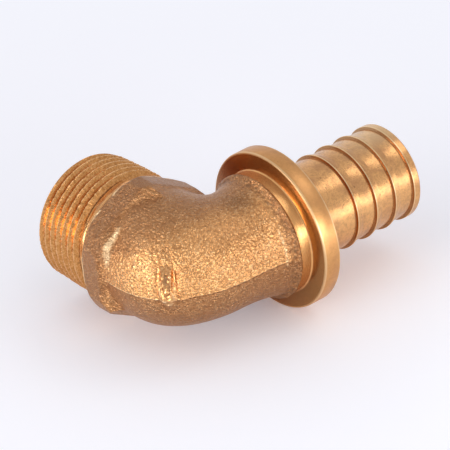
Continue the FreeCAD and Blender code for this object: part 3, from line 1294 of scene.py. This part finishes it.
@dataclass(frozen=True)
class CutThreadBrass(TurnedBrass):
    """Turned brass with a cut thread: crests painted bright as a highlight, flanks tanned, roots painted dark
    as shade.
    """

    thread: ThreadArm = ThreadArm()
    crest: tuple = (0.95, 0.55, 0.25, 1.0)
    flank: tuple = (0.65, 0.285, 0.08, 1.0)
    root: tuple = (0.15, 0.06, 0.025, 1.0)
    thread_start: float = 18.6

    def tint(self, sheet: LatheSheet, colour: object) -> object:
        """Tints the thread by depth below its crests, with a painted highlight on them and painted shade in
        the roots.

        Args:
            sheet: The sheet of nodes.
            colour: The colour so far.

        Returns:
            The colour's socket.
        """
        cut, along, radius = self.thread, sheet.along, sheet.radius
        past = sheet.sum("MAXIMUM", sheet.minus(along, cut.taper_start), 0.0)
        crest = sheet.minus(cut.gauge_radius, sheet.times(past, cut.taper))
        deep = sheet.sum("DIVIDE", sheet.minus(crest, radius), cut.depth)
        dashes = sheet.between(sheet.grain(sheet.where, 1.3, 2.0, 0.4), 0.34, 0.58)
        chatter = sheet.grain(sheet.where, 2.4, 2.0, 0.8)
        inside = sheet.between(along, cut.arm_length - 0.2, cut.arm_length - 0.7)
        # Painted shade in the thread's roots, broken into dashes.
        root_shade_dashes = sheet.plus(0.62, sheet.times(dashes, 0.36))
        # The crest colour is a painted highlight on the crests.
        tinted = self.crest
        for paint, *shares in (
            (self.flank, sheet.between(deep, 0.02, 0.12)),
            (self.root, sheet.between(deep, 0.70, 0.93), inside, root_shade_dashes),
            (self.crest, sheet.between(chatter, 0.46, 0.62), 0.40),
            (self.root, sheet.between(chatter, 0.46, 0.32), 0.30),
        ):
            tinted = sheet.blend(tinted, paint, *shares)
        outside = sheet.between(radius, cut.least_radius + 0.2, cut.least_radius + 0.6)
        threaded = sheet.between(along, self.thread_start, self.thread_start + 0.3)
        return sheet.blend(colour, tinted, outside, threaded, 0.92)


@dataclass(frozen=True)
class CollarBrass(TurnedBrass):
    """Turned brass of the nipple, with painted shade on the collar's face, in the corners of its steps and on
    the ribs, and painted highlights on its edges, rib crests and far end.
    """

    nipple: NippleTurning = NippleTurning()
    face_reflection_shade: tuple = (0.38, 0.18, 0.057, 1.0)
    face_shade: tuple = (0.34, 0.12, 0.032, 1.0)
    painted_highlight: tuple = (1.0, 0.74, 0.42, 1.0)
    rim_tan: tuple = (0.66, 0.32, 0.11, 1.0)
    band_gold: tuple = (1.0, 0.54, 0.20, 1.0)
    rim_start: float = 15.9

    def polish(self, sheet: LatheSheet, roughness: object) -> object:
        """Makes the collar duller than the nipple."""
        rim = sheet.between(sheet.radius, self.rim_start - 0.1, self.rim_start + 0.3)
        return sheet.plus(roughness, sheet.times(rim, 0.12))

    def tint(self, sheet: LatheSheet, colour: object) -> object:
        """Tints the collar's band and rim, and paints shade on its face, in the corner behind it and on the
        ribs, and highlights on its edges, the rib crests and the nipple's far end.

        Args:
            sheet: The sheet of nodes.
            colour: The colour so far.

        Returns:
            The colour's socket.
        """
        cut, along, radius = self.nipple, sheet.along, sheet.radius
        face, back, band, root = cut.collar_face, cut.collar_back, cut.band_radius, cut.root_radius
        # Painted shade on the collar's face, standing in for its reflection of the darker body, deeper
        # towards the thread side.
        painted_face_shade = sheet.blend(self.face_reflection_shade, self.face_shade, sheet.between(sheet.y, -9.0, 3.0))
        on_face = sheet.strip(along, face - 0.3, face - 0.1, face + 0.06, face + 0.16)
        beyond_band = sheet.between(radius, band + 0.1, band + 0.5)
        on_band = sheet.between(radius, band - 0.25, band - 0.15)
        far_end = sheet.between(along, 34.0, cut.arm_length - 0.5)
        upper_back = sheet.between(sheet.plus(sheet.z, sheet.y), 3.0, 9.0)
        corner = sheet.strip(along, back - 0.1, back + 0.02, back + 0.1, back + 0.45)
        edge = sheet.between(radius, self.rim_start, self.rim_start + 0.1)
        front_edge = sheet.strip(along, face - 0.04, face + 0.08, face + 0.36, face + 0.48)
        back_edge = sheet.strip(along, back - 0.42, back - 0.30, back - 0.08, back + 0.04)
        phase = sheet.minus(along, cut.first_rib - 0.36)
        phase = sheet.sum("FLOORED_MODULO", phase, cut.rib_pitch)
        ribbed = sheet.times(sheet.between(along, 33.0, 33.2), sheet.between(radius, 8.6, 8.8))
        for paint, *shares in (
            (painted_face_shade, on_face, beyond_band, 0.85),
            (self.band_gold, on_band, sheet.between(along, face - 0.1, face - 0.2), 0.65),
            # Painted highlight on the upper back of the nipple's far end.
            (self.painted_highlight, far_end, upper_back, 0.55),
            (self.rim_tan, sheet.between(radius, self.rim_start, self.rim_start + 0.3), 0.6),
            # Painted shade in the corner behind the collar.
            (self.pits_and_shade, corner, sheet.between(radius, root + 1.0, root + 0.2), 0.7),
            # Painted highlights along the rim's front and back edges.
            (self.painted_highlight, front_edge, edge, 0.5),
            (self.painted_highlight, back_edge, edge, 0.5),
            # Painted shade on the ribs' steep faces, then a painted highlight on their crests.
            (self.pits_and_shade, sheet.strip(phase, 0.0, 0.05, 0.27, 0.33), ribbed, 0.75),
            (self.painted_highlight, sheet.strip(phase, 0.30, 0.36, 0.46, 0.56), ribbed, 0.8),
        ):
            colour = sheet.blend(colour, paint, *shares)
        return colour


@dataclass(frozen=True)
class Softbox:
    """One soft square lamp."""

    name: str
    direction: tuple
    distance: float
    width: float
    height: float
    glow: float

    def hang(self, target: Vector) -> None:
        """Hangs the lamp, facing the object.

        Args:
            target: What it faces.
        """
        lamp = bpy.data.lights.new(self.name, "AREA")
        lamp.shape = "RECTANGLE"
        lamp.size, lamp.size_y = self.width, self.height
        lamp.energy = self.glow * math.pi * self.width * self.height
        holder = bpy.data.objects.new(self.name, lamp)
        bpy.context.collection.objects.link(holder)
        away = Vector(self.direction).normalized()
        holder.visible_camera = False
        holder.location = target + away * self.distance
        holder.rotation_euler = away.to_track_quat("Z", "Y").to_euler()


@dataclass(frozen=True)
class Studio:
    """Pale floor, soft lamps and the camera."""

    floor_level: float = -16.4
    floor_size: float = 6.0
    azimuth: float = -37.0526
    elevation: float = 30.7688
    roll: float = -5.8760
    distance: float = 0.700
    lens: float = 288.0
    sensor: float = 36.0
    target: tuple = (0.0152, -0.014245, 0.0)
    paper: tuple = (0.955, 0.96, 0.985, 1.0)
    paper_glow: tuple = (0.88, 0.90, 1.08, 1.0)
    glow_share: float = 0.125
    fade_start: float = 0.07
    fade_end: float = 0.17
    backdrop: tuple = (0.905, 0.915, 0.985, 1.0)
    sky_light: tuple = (0.985, 0.98, 1.02, 1.0)
    sky: float = 0.63
    front_rise: float = 0.40
    camera_dip: float = 0.78
    back_rise: float = 0.20
    lamps: tuple = field(
        default_factory=lambda: (
            Softbox("high_softbox", (0.47, -0.29, 0.79), 0.60, 0.30, 0.25, 1.05),
            Softbox("left_softbox", (-1.0, 0.02, 0.20), 0.70, 0.46, 0.30, 6.0),
            Softbox("front_softbox", (0.16, -0.97, 0.16), 0.70, 0.42, 0.20, 4.9),
            Softbox("low_strip", (0.601, -0.799, -0.018), 0.1136, 0.14, 0.028, 1.3),
        )
    )

    def lay_floor(self) -> None:
        """Lays the floor, which keeps the shadow and shows pale to the camera."""
        level = (0.0, 0.0, self.floor_level * MM)
        floor = Bench.start("floor", bpy.ops.mesh.primitive_plane_add, size=self.floor_size, location=level)
        sheet = Sheet("floor_paper")
        seen = sheet.add("LightPath").outputs["Is Camera Ray"]
        paper = sheet.add("BsdfDiffuse", Color=self.paper).outputs[0]
        shine = sheet.times(seen, self.glow_share)
        glow = sheet.add("Emission", Color=self.paper_glow, Strength=shine).outputs[0]
        near = sheet.chain("AddShader", paper, glow).outputs[0]
        far = sheet.add("Emission", Color=self.backdrop).outputs[0]
        own = sheet.add("TexCoord").outputs["Object"]
        reach = sheet.chain("VectorMath", own, operation="LENGTH").outputs["Value"]
        share = sheet.times(sheet.between(reach, self.fade_start, self.fade_end), seen)
        sheet.end(sheet.chain("MixShader", share, near, far).outputs[0])
        floor.data.materials.append(sheet.material)
        floor.select_set(False)

    def fill_sky(self) -> None:
        """Fills the sky: pale to the camera; as light, brighter low down in front and to the left."""
        sheet = Sheet("studio_sky", sky=True)
        bpy.context.scene.world = sheet.material
        seen = sheet.add("LightPath").outputs["Is Camera Ray"]
        way = sheet.add("TexCoord").outputs["Generated"]
        front = sheet.facing(way, (-0.82, -0.57, 0.0), 0.30, 0.75)
        camera_side = sheet.facing(way, (-0.68, -0.57, 0.47), 0.84, 1.0)
        back = sheet.facing(way, (0.0, 1.0, 0.0), 0.5, 0.9)
        strength = sheet.plus(self.sky, sheet.times(front, self.front_rise))
        strength = sheet.minus(strength, sheet.times(camera_side, self.camera_dip))
        strength = sheet.plus(strength, sheet.times(back, self.back_rise))
        light = sheet.add("Background", Color=self.sky_light, Strength=strength).outputs[0]
        pale = sheet.add("Background", Color=self.backdrop).outputs[0]
        sheet.end(sheet.chain("MixShader", seen, light, pale).outputs[0], "World")

    def stand_camera(self) -> None:
        """Stands the camera where the picture was taken from."""
        turn, lift, roll = (math.radians(v) for v in (self.azimuth, self.elevation, self.roll))
        back = Vector((math.sin(turn) * math.cos(lift), -math.cos(turn) * math.cos(lift), math.sin(lift)))
        right = (-back).cross(UP).normalized()
        above = right.cross(-back)
        leant = right * math.cos(roll) + above * math.sin(roll)
        upright = above * math.cos(roll) - right * math.sin(roll)
        camera_data = bpy.data.cameras.new("camera")
        camera_data.lens, camera_data.sensor_width = self.lens, self.sensor
        camera = bpy.data.objects.new("camera", camera_data)
        bpy.context.collection.objects.link(camera)
        stand = Matrix((leant, upright, back)).transposed().to_4x4()
        stand.translation = Vector(self.target) + back * self.distance
        camera.matrix_world = stand
        bpy.context.scene.camera = camera

    def set_up(self) -> None:
        """Sets up the floor, the sky, the lamps and the camera."""
        self.lay_floor()
        self.fill_sky()
        for lamp in self.lamps:
            lamp.hang(Vector(self.target))
        self.stand_camera()
        bpy.context.scene.view_settings.view_transform = "Standard"


def main() -> None:
    """Builds the fitting's pieces in order and sets up the studio."""
    thread, nipple = ThreadArm(), NippleTurning()
    Casting().make(SandCastBrass().make())
    thread.make(CutThreadBrass("thread_cut_brass", Arm.THREAD, rings_depth=0.035, thread=thread).make())
    nipple.make(CollarBrass("turned_brass", Arm.NIPPLE, nipple=nipple).make())
    Studio().set_up()


if __name__ == "__main__":
    main()
